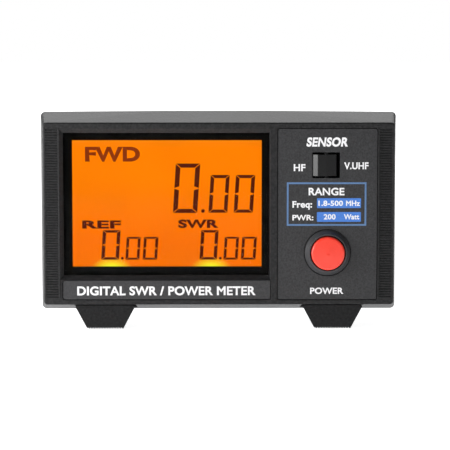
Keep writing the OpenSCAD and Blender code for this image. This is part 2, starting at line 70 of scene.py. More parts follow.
def add(tree, kind, sockets=None, links=None, **settings):
    """Adds one node: its settings, its sockets' values, and links into its sockets."""
    made = tree.nodes.new(kind)
    for name, value in settings.items():
        setattr(made, name, value)
    for name, value in (sockets or {}).items():
        made.inputs[name].default_value = value
    for name, output in (links or {}).items():
        tree.links.new(output, made.inputs[name])
    return made


# Studio. A pale floor lies under the leg tips and the rear feet, so it slopes a little to the meter.
# The surround is white to the eye and faint as a light. Two small soft lamps stand on the left, near
# the height of the face, and a wide one hangs high behind and lights the top edges.
world = bpy.data.worlds.new("white surround")
world.use_nodes = True
bpy.context.scene.world = world
world.node_tree.nodes.clear()
path = add(world.node_tree, "ShaderNodeLightPath")
level = add(world.node_tree, "ShaderNodeMapRange", {"To Min": 0.12, "To Max": 1.0},
            {"Value": path.outputs["Is Camera Ray"]})
sky = add(world.node_tree, "ShaderNodeBackground", {"Color": (1, 1, 1, 1)},
          {"Strength": level.outputs["Result"]})
add(world.node_tree, "ShaderNodeOutputWorld", links={"Surface": sky.outputs["Background"]})

tip_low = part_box("tilt_leg_left")[0]
feet_low, feet_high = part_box("rubber_feet")
leg_thick = 4.2 * MM
tip_back = tip_low.y + leg_thick
slope = math.atan2(feet_low.z - tip_low.z, feet_high.y - tip_back)
floor_gap = 0.02 * MM
bpy.ops.object.select_all(action="DESELECT")
bpy.ops.mesh.primitive_plane_add(size=6)
floor = bpy.context.object
floor.name = "floor"
floor.data.transform(Matrix.Translation((0, tip_back, tip_low.z - floor_gap))
                     @ Matrix.Rotation(slope, 4, "X"))
floor_paint = bpy.data.materials.new("matt white paper sweep")
floor_paint.use_nodes = True
floor_paint.node_tree.nodes.clear()
matt = add(floor_paint.node_tree, "ShaderNodeBsdfDiffuse", {"Color": rgb("#f6f6f6")})
seen = add(floor_paint.node_tree, "ShaderNodeLightPath")
bright = add(floor_paint.node_tree, "ShaderNodeMapRange", {"To Min": 1.1, "To Max": 0.93},
             {"Value": seen.outputs["Is Camera Ray"]})
lit_from_below = add(floor_paint.node_tree, "ShaderNodeEmission", {"Color": rgb("#ffffff")},
                     {"Strength": bright.outputs["Result"]})
paper = add(floor_paint.node_tree, "ShaderNodeAddShader")
floor_paint.node_tree.links.new(matt.outputs["BSDF"], paper.inputs[0])
floor_paint.node_tree.links.new(lit_from_below.outputs["Emission"], paper.inputs[1])
add(floor_paint.node_tree, "ShaderNodeOutputMaterial", links={"Surface": paper.outputs["Shader"]})
floor.data.materials.append(floor_paint)

lamp_aim = Vector((0, 0, 0.05))
for name, place, size, power in (
    ("lamp before left", (-0.36, -0.3, 0.2), 0.18, 1.3),
    ("lamp beside left", (-0.6, -0.2, 0.1), 0.3, 2.7),
    ("lamp behind", (0.0, 1.0, 0.8), 1.2, 9.0),
):
    lamp = bpy.data.lights.new(name, "AREA")
    lamp.shape = "SQUARE"
    lamp.size = size
    lamp.energy = power
    holder = bpy.data.objects.new(name, lamp)
    holder.location = place
    holder.rotation_euler = (lamp_aim - Vector(place)).to_track_quat("-Z", "Y").to_euler()
    bpy.context.scene.collection.objects.link(holder)


# Front moulding. Black ABS, injection moulded in a spark-eroded tool, so it is matt with a fine
# pebbled grain and only its rounded edges shine. The real pebbles are about 0.3 mm across; they are
# drawn at 1 mm so that they show.
def plain(name, colour, roughness, **sockets):
    """A material with one main shader whose constants sit on the shader's own sockets."""
    made = bpy.data.materials.new(name)
    made.use_nodes = True
    tree = made.node_tree
    tree.nodes.clear()
    values = {"Base Color": rgb(colour), "Roughness": roughness}
    values.update({key.replace("_", " "): value for key, value in sockets.items()})
    shader = add(tree, "ShaderNodeBsdfPrincipled", values)
    add(tree, "ShaderNodeOutputMaterial", links={"Surface": shader.outputs["BSDF"]})
    return made


def grain(material, size, depth, low, high, edge=0.0):
    """A grain of a size and depth in mm between two colours; edge is the radius of worn edges in mm."""
    tree = material.node_tree
    shader = tree.nodes["Principled BSDF"]
    coords = add(tree, "ShaderNodeTexCoord")
    noise = add(tree, "ShaderNodeTexNoise", {"Scale": 1 / (size * MM), "Detail": 2.0, "Roughness": 0.6},
                {"Vector": coords.outputs["Object"]})
    ramp = add(tree, "ShaderNodeValToRGB", links={"Fac": noise.outputs["Fac"]})
    ramp.color_ramp.elements[0].position = 0.32
    ramp.color_ramp.elements[1].position = 0.68
    ramp.color_ramp.elements[0].color = rgb(low)
    ramp.color_ramp.elements[1].color = rgb(high)
    tree.links.new(ramp.outputs["Color"], shader.inputs["Base Color"])
    bump = add(tree, "ShaderNodeBump", {"Strength": 1.0, "Distance": depth * MM},
               {"Height": noise.outputs["Fac"]})
    if edge:
        rounded = add(tree, "ShaderNodeBevel", {"Radius": edge * MM}, samples=4)
        tree.links.new(rounded.outputs["Normal"], bump.inputs["Normal"])
    tree.links.new(bump.outputs["Normal"], shader.inputs["Normal"])
    return material


def wear(material, *nodes):
    """Gives CAD nodes their material."""
    for name in nodes:
        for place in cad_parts[name].material_slots:
            place.material = material


moulded_abs = grain(plain("spark-eroded black ABS", "#1c1c1d", 0.48, Specular_IOR_Level=0.3),
                    1.0, 0.16, "#0e0e0f", "#262627", edge=0.22)
wear(moulded_abs, "front_bezel")


# Display window. A clear cast acrylic sheet dropped in from behind. A glare coat kills nearly all of
# its reflection, so it is unseen over the lit glass and black over the gasket; the low IOR gives that.
acrylic = plain("clear acrylic with a glare coat", "#ffffff", 0.02, Transmission_Weight=1.0, IOR=1.06)
window_tree = acrylic.node_tree
haze_at = add(window_tree, "ShaderNodeTexCoord")
haze = add(window_tree, "ShaderNodeTexNoise", {"Scale": 1 / (9 * MM), "Detail": 1.0},
           {"Vector": haze_at.outputs["Object"]})
sheen = add(window_tree, "ShaderNodeMapRange", {"To Min": 0.01, "To Max": 0.04},
            {"Value": haze.outputs["Fac"]})
window_tree.links.new(sheen.outputs["Result"], window_tree.nodes["Principled BSDF"].inputs["Roughness"])
wear(acrylic, "display_window")

# Gasket. Die-cut black foam that seals the window to the glass and frames the lit field.
# Foam is dead matt, with open cells of about a third of a millimetre.
foam = grain(plain("black cellular foam", "#070707", 0.95, Specular_IOR_Level=0.1),
             0.35, 0.05, "#040404", "#0a0a0a")
wear(foam, "display_gasket")

# Liquid crystal cell. Two sheets of glass with an orange polariser, lit from behind and below by two
# lamps, so the field is an even orange, a little redder low down, with a yellow hot spot over each lamp.
field_bottom, field_top = face_bottom + 16.2 * MM, face_bottom + 70.4 * MM
led_low, led_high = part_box("backlight_leds")
led_half = 1.6 * MM
lamp_places = (led_low.x + led_half, led_high.x - led_half)
lamp_height = field_bottom - 1.6 * MM

lit_glass = plain("orange polariser on glass", "#060200", 0.35, Specular_IOR_Level=0.02)
glow = lit_glass.node_tree
where = add(glow, "ShaderNodeTexCoord")
ramp_space = add(glow, "ShaderNodeMapping", {
    "Location": (0, 0, -field_bottom / (field_top - field_bottom)),
    "Scale": (1, 1, 1 / (field_top - field_bottom))}, {"Vector": where.outputs["Object"]})
axes = add(glow, "ShaderNodeSeparateXYZ", links={"Vector": ramp_space.outputs["Vector"]})
field = add(glow, "ShaderNodeValToRGB", links={"Fac": axes.outputs["Z"]})
field.color_ramp.elements[0].color = rgb("#f27004")
field.color_ramp.elements[1].color = rgb("#f2800c")
for height, shade in ((0.2, "#f67004"), (0.45, "#fc7905"), (0.7, "#fe7f01"), (0.93, "#ff7f01")):
    field.color_ramp.elements.new(height).color = rgb(shade)
lit = field.outputs["Color"]
for lamp_x in lamp_places:
    for wide, tall, shade, reach in ((17.5, 14.0, "#ff970a", 0.95), (10.5, 6.8, "#fff52e", 0.78)):
        ball = add(glow, "ShaderNodeMapping", {
            "Location": (-lamp_x / (wide * MM), 0, -lamp_height / (tall * MM)),
            "Scale": (1 / (wide * MM), 0, 1 / (tall * MM))}, {"Vector": where.outputs["Object"]})
        fade = add(glow, "ShaderNodeTexGradient", links={"Vector": ball.outputs["Vector"]},
                   gradient_type="SPHERICAL")
        tint = add(glow, "ShaderNodeValToRGB", links={"Fac": fade.outputs["Fac"]})
        tint.color_ramp.elements[0].color = rgb("#000000")
        tint.color_ramp.elements[1].color = rgb(shade)
        tint.color_ramp.elements[1].position = reach
        brighter = add(glow, "ShaderNodeMix", data_type="RGBA", blend_type="LIGHTEN")
        brighter.inputs["Factor"].default_value = 1.0
        glow.links.new(lit, brighter.inputs[6])
        glow.links.new(tint.outputs["Color"], brighter.inputs[7])
        lit = brighter.outputs[2]
cloud = add(glow, "ShaderNodeTexNoise", {"Scale": 1 / (24 * MM), "Detail": 1.0},
            {"Vector": where.outputs["Object"]})
uneven = add(glow, "ShaderNodeMapRange", {"From Min": 0.3, "From Max": 0.7, "To Min": 1.0, "To Max": 1.08},
             {"Value": cloud.outputs["Fac"]})
lit_shader = glow.nodes["Principled BSDF"]
glow.links.new(lit, lit_shader.inputs["Emission Color"])
glow.links.new(uneven.outputs["Result"], lit_shader.inputs["Emission Strength"])
wear(lit_glass, "lcd_cell")


# Display figures. The liquid crystal turns dark where it is driven: three readings of seven-bar
# figures, each bar mitred and parted from the next by a hair gap, leaning a little to the right.
def box_of(piece):
    """The lowest and highest corners of a piece's mesh."""
    points = [v.co for v in piece.data.vertices]
    return (Vector([min(p[i] for p in points) for i in range(3)]),
            Vector([max(p[i] for p in points) for i in range(3)]))


def thicken(piece, depth):
    """Pulls a flat shape lying in its own XY plane into a thin closed one."""
    bpy.context.view_layer.objects.active = piece
    bpy.ops.object.mode_set(mode="EDIT")
    bpy.ops.mesh.select_all(action="SELECT")
    bpy.ops.mesh.extrude_region_move(TRANSFORM_OT_translate={"value": (0, 0, depth)})
    bpy.ops.mesh.select_all(action="SELECT")
    bpy.ops.mesh.normals_make_consistent(inside=False)
    bpy.ops.object.mode_set(mode="OBJECT")


def stand(piece, left, right, bottom, top, front, back, lean=0.0, rear=False):
    """Fits a flat shape into a box in mm, its heights taken from the face's lower edge, and stands it up."""
    low, high = box_of(piece)
    wide = (right - left) * MM / (high.x - low.x)
    tall = (top - bottom) * MM / (high.y - low.y)
    deep = (back - front) * MM / (high.z - low.z)
    start = Matrix.Translation(-(low + high) / 2)
    size = Matrix.Diagonal((wide, tall, deep, 1.0))
    slant = Matrix(((1, math.tan(lean), 0, 0), (0, 1, 0, 0), (0, 0, 1, 0), (0, 0, 0, 1)))
    upright = Matrix.Rotation(math.radians(90), 4, "X")
    turn = Matrix.Rotation(math.pi if rear else 0.0, 4, "Z")
    middle = Vector(((left + right) / 2, (front + back) / 2, (bottom + top) / 2 + face_bottom / MM)) * MM
    piece.data.transform(Matrix.Translation(middle) @ turn @ upright @ slant @ size @ start)


def select_where(piece, kind, chosen):
    """Selects, in edit mode, only the vertices, edges or faces that a test chooses."""
    shape = bmesh.from_edit_mesh(piece.data)
    bpy.ops.mesh.select_all(action="DESELECT")
    for part in getattr(shape, kind):
        part.select_set(bool(chosen(part)))
    shape.select_flush_mode()
    bmesh.update_edit_mesh(piece.data)


figure_width, figure_height = 10.5, 21.2
bar_width, bar_gap = 2.3, 0.32
bar_point = 0.8  # how far each upright bar's inner corner is drawn back from the middle gap
flatness = 0.87  # a lying bar's thickness, as a share of an upright one's
film = 0.1  # depth of a flat shape before it is fitted into its box
bpy.ops.object.select_all(action="DESELECT")
bpy.ops.mesh.primitive_plane_add(size=1)
zero = bpy.context.object
zero.name = "figure_zero"
bpy.ops.object.mode_set(mode="EDIT")
bpy.context.tool_settings.mesh_select_mode = (False, False, True)
bpy.ops.mesh.select_all(action="SELECT")
bpy.ops.transform.resize(value=(figure_width, figure_height / flatness, 1))
bpy.ops.mesh.inset(thickness=bar_width, use_even_offset=True)
bpy.ops.mesh.delete(type="FACE")
bpy.ops.mesh.select_all(action="SELECT")
bpy.ops.mesh.bisect(plane_co=(0, 0, 0), plane_no=(0, 1, 0))
bpy.ops.mesh.select_all(action="SELECT")
bpy.ops.mesh.inset(thickness=bar_gap / 2, use_individual=True, use_even_offset=True, use_boundary=True)
bpy.ops.mesh.select_all(action="INVERT")
bpy.ops.mesh.delete(type="FACE")
bpy.context.tool_settings.mesh_select_mode = (True, False, False)
inner = figure_width / 2 - bar_width + bar_gap
for side in (1, -1):
    select_where(zero, "verts", lambda v: abs(v.co.x) < inner and 0 < v.co.y * side < 2 * bar_gap)
    bpy.ops.transform.translate(value=(0, side * bar_point, 0))
bpy.ops.object.mode_set(mode="OBJECT")
thicken(zero, film)

figure_front, figure_back = 3.50 + face_y / MM, 3.59 + face_y / MM
lean = math.radians(3.6)
driven = plain("driven liquid crystal", "#120300", 0.4, Specular_IOR_Level=0.1)
driven_tree = driven.node_tree
driven_at = add(driven_tree, "ShaderNodeTexCoord")
driven_cloud = add(driven_tree, "ShaderNodeTexNoise", {"Scale": 1 / (14 * MM)},
                   {"Vector": driven_at.outputs["Object"]})
driven_tone = add(driven_tree, "ShaderNodeValToRGB", links={"Fac": driven_cloud.outputs["Fac"]})
driven_tone.color_ramp.elements[0].color = rgb("#430c00")
driven_tone.color_ramp.elements[1].color = rgb("#561400")
driven_shader = driven_tree.nodes["Principled BSDF"]
driven_tree.links.new(driven_tone.outputs["Color"], driven_shader.inputs["Emission Color"])
driven_shader.inputs["Emission Strength"].default_value = 1.0

figure_places = (
    ("forward_units", -19.05, -8.60, 39.2, 60.4), ("forward_tenths", -3.95, 4.15, 39.3, 55.5),
    ("forward_hundredths", 6.85, 15.10, 39.3, 55.5),
    ("reflected_units", -50.15, -42.55, 19.1, 31.8), ("reflected_tenths", -39.85, -33.85, 19.1, 28.9),
    ("reflected_hundredths", -32.45, -26.25, 19.1, 28.9),
    ("ratio_units", -7.95, -0.50, 19.1, 31.8), ("ratio_tenths", 2.25, 8.35, 19.1, 28.9),
    ("ratio_hundredths", 9.75, 16.05, 19.1, 28.9),
)
for name, left, right, bottom, top in figure_places:
    figure = zero.copy()
    figure.data = zero.data.copy()
    figure.name = "figure_" + name
    bpy.context.scene.collection.objects.link(figure)
    stand(figure, left, right, bottom, top, figure_front, figure_back, lean)
    figure.data.materials.append(driven)
    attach(figure, "case")
bpy.data.objects.remove(zero)

bpy.ops.object.select_all(action="DESELECT")
bpy.ops.mesh.primitive_circle_add(vertices=24, radius=1, fill_type="NGON")
point = bpy.context.object
thicken(point, film)
for name, x, z, across in (
    ("forward", -6.8, 40.05, 1.6), ("reflected", -41.5, 19.7, 1.2), ("ratio", 0.6, 19.7, 1.2),
):
    dot = point.copy()
    dot.data = point.data.copy()
    dot.name = "figure_point_" + name
    bpy.context.scene.collection.objects.link(dot)
    stand(dot, x - across / 2, x + across / 2, z - across / 2, z + across / 2, figure_front, figure_back)
    dot.data.materials.append(driven)
    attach(dot, "case")
bpy.data.objects.remove(point)


# Display words. The three reading names are fixed shapes in the same liquid crystal; the top one
# is driven less hard, so it is a lighter brown.
def lettering(name, text, left, right, bottom, top, front, back, weight, coat, lean=0.0, rear=False):
    """A word as thin raised letters, filling the box given in mm; weight swells the strokes."""
    bpy.ops.object.select_all(action="DESELECT")
    bpy.ops.object.text_add()
    letters = bpy.context.object.data
    letters.body = text
    letters.space_character = 1.0 + 1.6 * weight
    bpy.ops.object.convert(target="MESH")
    word = bpy.context.object
    word.name = name
    bpy.ops.object.mode_set(mode="EDIT")
    bpy.ops.mesh.select_all(action="SELECT")
    bpy.ops.mesh.remove_doubles(threshold=0.0005)
    bpy.ops.object.mode_set(mode="OBJECT")
    thicken(word, film)
    bpy.ops.object.mode_set(mode="EDIT")
    bpy.ops.mesh.select_all(action="SELECT")
    bpy.ops.transform.shrink_fatten(value=weight, use_even_offset=True)
    bpy.ops.object.mode_set(mode="OBJECT")
    bpy.ops.object.shade_flat()
    stand(word, left, right, bottom, top, front, back, lean, rear)
    word.data.materials.clear()
    word.data.materials.append(coat)
    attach(word, "case")


soft_driven = plain("half driven liquid crystal", "#120300", 0.4, Specular_IOR_Level=0.1)
soft_tree = soft_driven.node_tree
soft_at = add(soft_tree, "ShaderNodeTexCoord")
soft_cloud = add(soft_tree, "ShaderNodeTexNoise", {"Scale": 1 / (6 * MM)},
                 {"Vector": soft_at.outputs["Object"]})
soft_tone = add(soft_tree, "ShaderNodeValToRGB", links={"Fac": soft_cloud.outputs["Fac"]})
soft_tone.color_ramp.elements[0].color = rgb("#742502")
soft_tone.color_ramp.elements[1].color = rgb("#963601")
soft_shader = soft_tree.nodes["Principled BSDF"]
soft_tree.links.new(soft_tone.outputs["Color"], soft_shader.inputs["Emission Color"])
soft_shader.inputs["Emission Strength"].default_value = 1.0
for name, text, left, right, bottom, top, weight, coat in (
    ("word_forward", "FWD", -57.2, -33.7, 61.2, 67.6, 0.05, soft_driven),
    ("word_reflected", "REF", -58.6, -42.0, 32.5, 36.0, 0.05, driven),
    ("word_ratio", "SWR", -17.4, -0.1, 32.7, 36.4, 0.05, driven),
):
    lettering(name, text, left, right, bottom, top, figure_front, figure_back, weight, coat)


# Title plate. A strip of aluminium under the window, bead blasted and anodised charcoal, with the
# meter's name screen printed in white. Real blasting is finer; its pits are drawn 0.7 mm wide so
# that they show.
title_print = grain(plain("bead blasted charcoal anodising", "#3a3a3c", 0.5, Specular_IOR_Level=0.5),
                    0.7, 0.05, "#232325", "#343436", edge=0.12)
wear(title_print, "title_plate")

ink = grain(plain("white screen printing ink", "#e9e9ea", 0.5), 0.5, 0.004, "#e2e2e4", "#efeff0")
plate_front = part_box("title_plate")[0].y / MM
ink_front, ink_back = plate_front - 0.05, plate_front + 0.01
bold = 0.034
lettering("title_words", "DIGITAL SWR / POWER METER", -60.7, 15.7, 4.0, 7.95, ink_front, ink_back,
          bold, ink)

# Control plate. The same blasting, anodised a shade darker, round the two controls. Legends name the
# two bands and the power button, and a blue ruled box holds the sensor's two ranges.
control_print = grain(plain("bead blasted black anodising", "#303031", 0.5, Specular_IOR_Level=0.5),
                      0.7, 0.06, "#19191b", "#303032", edge=0.12)
wear(control_print, "control_plate")
for name, text, left, right, bottom, top, weight, slant in (
    ("legend_sensor", "SENSOR", 37.5, 55.2, 67.7, 71.7, 0.045, 0.14),
    ("legend_band_low", "HF", 31.9, 36.9, 57.3, 60.3, bold, 0.0),
    ("legend_band_high", "V.UHF", 53.4, 63.8, 58.05, 61.05, bold, 0.0),
    ("legend_range", "RANGE", 38.3, 53.6, 46.9, 50.2, bold, 0.0),
    ("legend_frequency", "Freq:", 31.4, 39.8, 40.8, 44.5, bold, 0.0),
    ("legend_level", "PWR:", 31.4, 40.4, 36.2, 38.6, bold, 0.0),
    ("legend_power", "POWER", 39.1, 53.4, 4.5, 7.3, bold, 0.0),
):
    lettering(name, text, left, right, bottom, top, ink_front, ink_back, weight, ink,
              slant)

blue_line = grain(plain("blue screen printing ink", "#54759f", 0.5), 0.5, 0.004, "#4f6f98", "#597ba6")
blue_fill = grain(plain("bright blue screen printing ink", "#3f78cc", 0.5), 0.5, 0.004, "#3a72c6", "#477fd2")


def printed_panel(name, left, right, bottom, top, coat, corner=0.0, line=0.0):
    """A printed rectangle in mm: solid with rounded corners, or ruled as a line of a width."""
    bpy.ops.object.select_all(action="DESELECT")
    bpy.ops.mesh.primitive_plane_add(size=1)
    panel = bpy.context.object
    panel.name = name
    bpy.ops.object.mode_set(mode="EDIT")
    bpy.ops.transform.resize(value=(right - left, top - bottom, 1))
    if line:
        bpy.context.tool_settings.mesh_select_mode = (False, False, True)
        bpy.ops.mesh.select_all(action="SELECT")
        bpy.ops.mesh.inset(thickness=line)
        bpy.ops.mesh.delete(type="FACE")
    else:
        bpy.ops.mesh.bevel(affect="VERTICES", offset=corner, segments=4)
    bpy.ops.object.mode_set(mode="OBJECT")
    thicken(panel, film)
    stand(panel, left, right, bottom, top, ink_front + 0.015, ink_back)
    panel.data.materials.append(coat)
    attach(panel, "case")


printed_panel("range_box", 29.0, 63.0, 33.9, 52.5, blue_line, line=0.75)
printed_panel("range_bar_upper", 41.9, 60.7, 41.5, 45.7, blue_fill, corner=0.35)
printed_panel("range_bar_lower", 41.9, 60.7, 35.6, 39.8, blue_fill, corner=0.35)
for name, text, left, right, bottom, top, weight in (
    ("range_frequency", "1.8-500", 42.5, 53.0, 42.4, 44.7, 0.03),
    ("range_cycles", "MHz", 54.3, 60.3, 42.4, 44.7, bold),
    ("range_level", "200", 44.8, 49.9, 36.6, 38.9, 0.03),
    ("range_unit", "Watt", 53.4, 60.0, 36.6, 38.9, bold),
):
    lettering(name, text, left, right, bottom, top, ink_front - 0.01, ink_front + 0.02, weight, ink)


# Band rocker. A black nylon housing clipped behind the plate, and a polished nylon paddle that rocks
# on a blackened steel pin; the contacts behind it are tinned copper.
housing_nylon = grain(plain("black moulded nylon", "#0d0d0d", 0.55, Specular_IOR_Level=0.2),
                      0.4, 0.01, "#0a0a0a", "#101010", edge=0.15)
wear(housing_nylon, "rocker_housing")
paddle_nylon = grain(plain("polished black nylon", "#0c0c0d", 0.3, Specular_IOR_Level=0.34),
                     0.5, 0.004, "#0a0a0b", "#0f0f10", edge=0.25)
wear(paddle_nylon, "rocker_paddle")
tin = grain(plain("hot tinned copper", "#c9cbcc", 0.3, Metallic=1.0),
            0.6, 0.01, "#bfc2c3", "#d5d7d8", edge=0.05)
wear(tin, "rocker_terminals", "power_switch_terminals")
black_oxide = grain(plain("black oxide steel", "#1d1d1f", 0.35, Metallic=0.6),
                    0.5, 0.01, "#19191b", "#232325", edge=0.15)
wear(black_oxide, "rocker_pin")

# Power switch. A black acetal collar with a sloping face screws through the plate into a brass nut.
# The red cap is glossy ABS on a white acetal stem, pushed back by a steel spring.
collar = grain(plain("turned black acetal", "#39393b", 0.38, Specular_IOR_Level=0.5),
               0.5, 0.004, "#353537", "#3d3d3f", edge=0.3)
wear(collar, "power_switch_body")
cap_red = grain(plain("glossy red ABS", "#f2412f", 0.33, Specular_IOR_Level=0.5, Subsurface_Weight=0.15,
                      Subsurface_Scale=0.001),
                3.0, 0.004, "#f03f2d", "#f44331", edge=0.5)
wear(cap_red, "power_button_cap")
acetal = grain(plain("natural white acetal", "#e6e4dc", 0.4, Subsurface_Weight=0.1, Subsurface_Scale=0.001),
               0.5, 0.004, "#e0ded6", "#ecebe4", edge=0.1)
wear(acetal, "power_button_stem")
brass = grain(plain("turned brass", "#c9a24f", 0.3, Metallic=1.0),
              0.4, 0.006, "#bf9745", "#d4ae5c", edge=0.08)
wear(brass, "power_switch_nut")
spring_wire = grain(plain("drawn spring steel wire", "#8f9294", 0.35, Metallic=1.0),
                    0.3, 0.005, "#838688", "#9b9ea0")
wear(spring_wire, "power_return_spring")

# Tilt legs. Black ABS from a spark-eroded tool like the moulding's, with its grain drawn as coarse.
# Each swings on a zinc plated steel pin pressed into the moulding.
leg_abs = grain(plain("satin black ABS", "#171718", 0.55, Specular_IOR_Level=0.2),
                1.0, 0.14, "#0a0a0b", "#1f1f20", edge=0.25)
wear(leg_abs, "tilt_leg_left", "tilt_leg_right")
zinc = grain(plain("bright zinc plated steel", "#b9bdc0", 0.32, Metallic=1.0),
             0.5, 0.006, "#aeb4b8", "#c6c9ca", edge=0.08)
wear(zinc, "leg_pins")


# Display stack. A clear light guide with two orange lamps under it, a white holder, pink contact
# rubbers with a carbon stripe, and a green glass-epoxy board held by zinc plated screws.
guide = grain(plain("extruded clear acrylic", "#f4f6f5", 0.08, Transmission_Weight=1.0, IOR=1.49),
              4.0, 0.01, "#eef1f0", "#fafafa")
wear(guide, "light_guide")
lamp_lens = grain(plain("amber epoxy lamp lens", "#ffb347", 0.15, Emission_Strength=0.6),
                  0.6, 0.004, "#f7a63a", "#ffc15e")
lamp_lens.node_tree.nodes["Principled BSDF"].inputs["Emission Color"].default_value = rgb("#ff9a20")
wear(lamp_lens, "backlight_leds")
white_holder = grain(plain("moulded white polycarbonate", "#dedfdd", 0.5),
                     0.4, 0.015, "#d6d7d5", "#e6e7e5", edge=0.15)
wear(white_holder, "lcd_holder")
rubber_strip = plain("layered contact silicone", "#c98f93", 0.7)
strip_tree = rubber_strip.node_tree
strip_at = add(strip_tree, "ShaderNodeTexCoord")
layers = add(strip_tree, "ShaderNodeTexWave", {"Scale": 1 / (0.8 * MM) / (2 * math.pi), "Distortion": 0.1},
             {"Vector": strip_at.outputs["Object"]}, wave_type="BANDS", bands_direction="X")
strip_tone = add(strip_tree, "ShaderNodeValToRGB", links={"Fac": layers.outputs["Fac"]})
strip_tone.color_ramp.elements[0].color = rgb("#1c1b1b")
strip_tone.color_ramp.elements[1].color = rgb("#c98f93")
strip_tone.color_ramp.elements[0].position = 0.35
strip_tree.links.new(strip_tone.outputs["Color"], strip_tree.nodes["Principled BSDF"].inputs["Base Color"])
wear(rubber_strip, "contact_strips")

# Circuit boards. Glass-epoxy under a green solder mask, with the pale weave just showing through,
# and copper tracks under the mask as slightly lighter squared lines.
board_mask = plain("green solder mask on glass epoxy", "#1c5a33", 0.32, Coat_Weight=0.2)
mask_tree = board_mask.node_tree
mask_at = add(mask_tree, "ShaderNodeTexCoord")
tracks = add(mask_tree, "ShaderNodeTexBrick", {
    "Scale": 1 / (5.0 * MM), "Mortar Size": 0.055, "Mortar Smooth": 0.3, "Brick Width": 1.4,
    "Row Height": 0.5, "Color1": rgb("#1a5730"), "Color2": rgb("#1e6137"), "Mortar": rgb("#347d48")},
    {"Vector": mask_at.outputs["Object"]})
weave = add(mask_tree, "ShaderNodeTexNoise", {"Scale": 1 / (0.5 * MM), "Detail": 2.0},
            {"Vector": mask_at.outputs["Object"]})
mask_bump = add(mask_tree, "ShaderNodeBump", {"Strength": 0.4, "Distance": 0.02 * MM},
                {"Height": weave.outputs["Fac"]})
mask_shader = mask_tree.nodes["Principled BSDF"]
mask_tree.links.new(tracks.outputs["Color"], mask_shader.inputs["Base Color"])
mask_tree.links.new(mask_bump.outputs["Normal"], mask_shader.inputs["Normal"])
wear(board_mask, "display_board", "main_board", "hf_coupler_board", "vuhf_coupler_board")
wear(zinc, "display_board_screws", "board_screws", "bezel_screws", "foot_screws", "foot_nuts",
     "front_brackets")
header_nylon = grain(plain("natural header nylon", "#e9e3cd", 0.45),
                     0.5, 0.008, "#e2dcc5", "#f0ebd8", edge=0.1)
wear(header_nylon, "display_header", "board_header")
wear(brass, "board_standoffs")
chip_epoxy = grain(plain("black moulded epoxy", "#1e1e20", 0.5, Specular_IOR_Level=0.4),
                   0.3, 0.012, "#1a1a1c", "#232325", edge=0.08)
wear(chip_epoxy, "board_chips", "voltage_regulator")
sleeve = grain(plain("blue capacitor sleeve", "#22386b", 0.3), 2.0, 0.01, "#1f3463", "#273f76", edge=0.2)
wear(sleeve, "board_capacitors")
ribbon = plain("grey ribbon cable vinyl", "#9a9b9d", 0.5)
ribbon_tree = ribbon.node_tree
ribbon_at = add(ribbon_tree, "ShaderNodeTexCoord")
cores = add(ribbon_tree, "ShaderNodeTexWave", {"Scale": 1 / (1.27 * MM) / (2 * math.pi), "Distortion": 0.0},
            {"Vector": ribbon_at.outputs["Object"]}, wave_type="BANDS", bands_direction="X")
# Painted shade and highlight: the grooves between the cores are painted darker and each core's crest
# lighter, in step with the bumped ridges.
crest_highlight_groove_shade = add(ribbon_tree, "ShaderNodeValToRGB", links={"Fac": cores.outputs["Fac"]})
crest_highlight_groove_shade.color_ramp.elements[0].color = rgb("#828385")
crest_highlight_groove_shade.color_ramp.elements[1].color = rgb("#a8a9ab")
core_bump = add(ribbon_tree, "ShaderNodeBump", {"Strength": 0.8, "Distance": 0.2 * MM},
                {"Height": cores.outputs["Fac"]})
ribbon_shader = ribbon_tree.nodes["Principled BSDF"]
ribbon_tree.links.new(crest_highlight_groove_shade.outputs["Color"], ribbon_shader.inputs["Base Color"])
ribbon_tree.links.new(core_bump.outputs["Normal"], ribbon_shader.inputs["Normal"])
wear(ribbon, "display_ribbon")
lead = grain(plain("red lead vinyl", "#8c2420", 0.4), 0.8, 0.01, "#82201c", "#982a25")
wear(lead, "sensor_leads")

# Couplers. Each is a tinplate box soldered to its board with a copper line between two sockets;
# the HF one senses through two ferrite rings.
tinplate = grain(plain("bright tinplate", "#c4c6c6", 0.25, Metallic=1.0),
                 6.0, 0.02, "#b9bcbc", "#cfd1d1", edge=0.2)
wear(tinplate, "hf_coupler_box", "hf_coupler_lid", "vuhf_coupler_box", "vuhf_coupler_lid")
copper = grain(plain("bare copper rod", "#c87f5a", 0.28, Metallic=1.0), 0.8, 0.008, "#bd734e", "#d58e69")
wear(copper, "hf_line", "vuhf_line")
ferrite = grain(plain("sintered ferrite", "#2b2c2e", 0.6), 0.4, 0.02, "#242527", "#343537", edge=0.25)
wear(ferrite, "hf_toroids")

# Case. A pressed steel cover wraps the top and sides. Like the rear panel, it has a black textured
# powder coat with pimples about 0.75 mm across. The chassis under it is zinc coated steel and stands
# on four rubber feet.
powder = plain("black textured powder coat", "#262627", 0.5, Specular_IOR_Level=0.4)
powder_tree = powder.node_tree
powder_at = add(powder_tree, "ShaderNodeTexCoord")
pimples = add(powder_tree, "ShaderNodeTexVoronoi", {"Scale": 1 / (0.75 * MM)},
              {"Vector": powder_at.outputs["Object"]})
drift = add(powder_tree, "ShaderNodeTexNoise", {"Scale": 1 / (18 * MM), "Detail": 2.0},
            {"Vector": powder_at.outputs["Object"]})
powder_tone = add(powder_tree, "ShaderNodeValToRGB", links={"Fac": drift.outputs["Fac"]})
powder_tone.color_ramp.elements[0].color = rgb("#222223")
powder_tone.color_ramp.elements[1].color = rgb("#29292a")
powder_rounded = add(powder_tree, "ShaderNodeBevel", {"Radius": 0.6 * MM}, samples=4)
powder_bump = add(powder_tree, "ShaderNodeBump", {"Strength": 0.7, "Distance": 0.06 * MM},
                  {"Height": pimples.outputs["Distance"], "Normal": powder_rounded.outputs["Normal"]},
                  invert=True)
powder_shader = powder_tree.nodes["Principled BSDF"]
powder_tree.links.new(powder_tone.outputs["Color"], powder_shader.inputs["Base Color"])
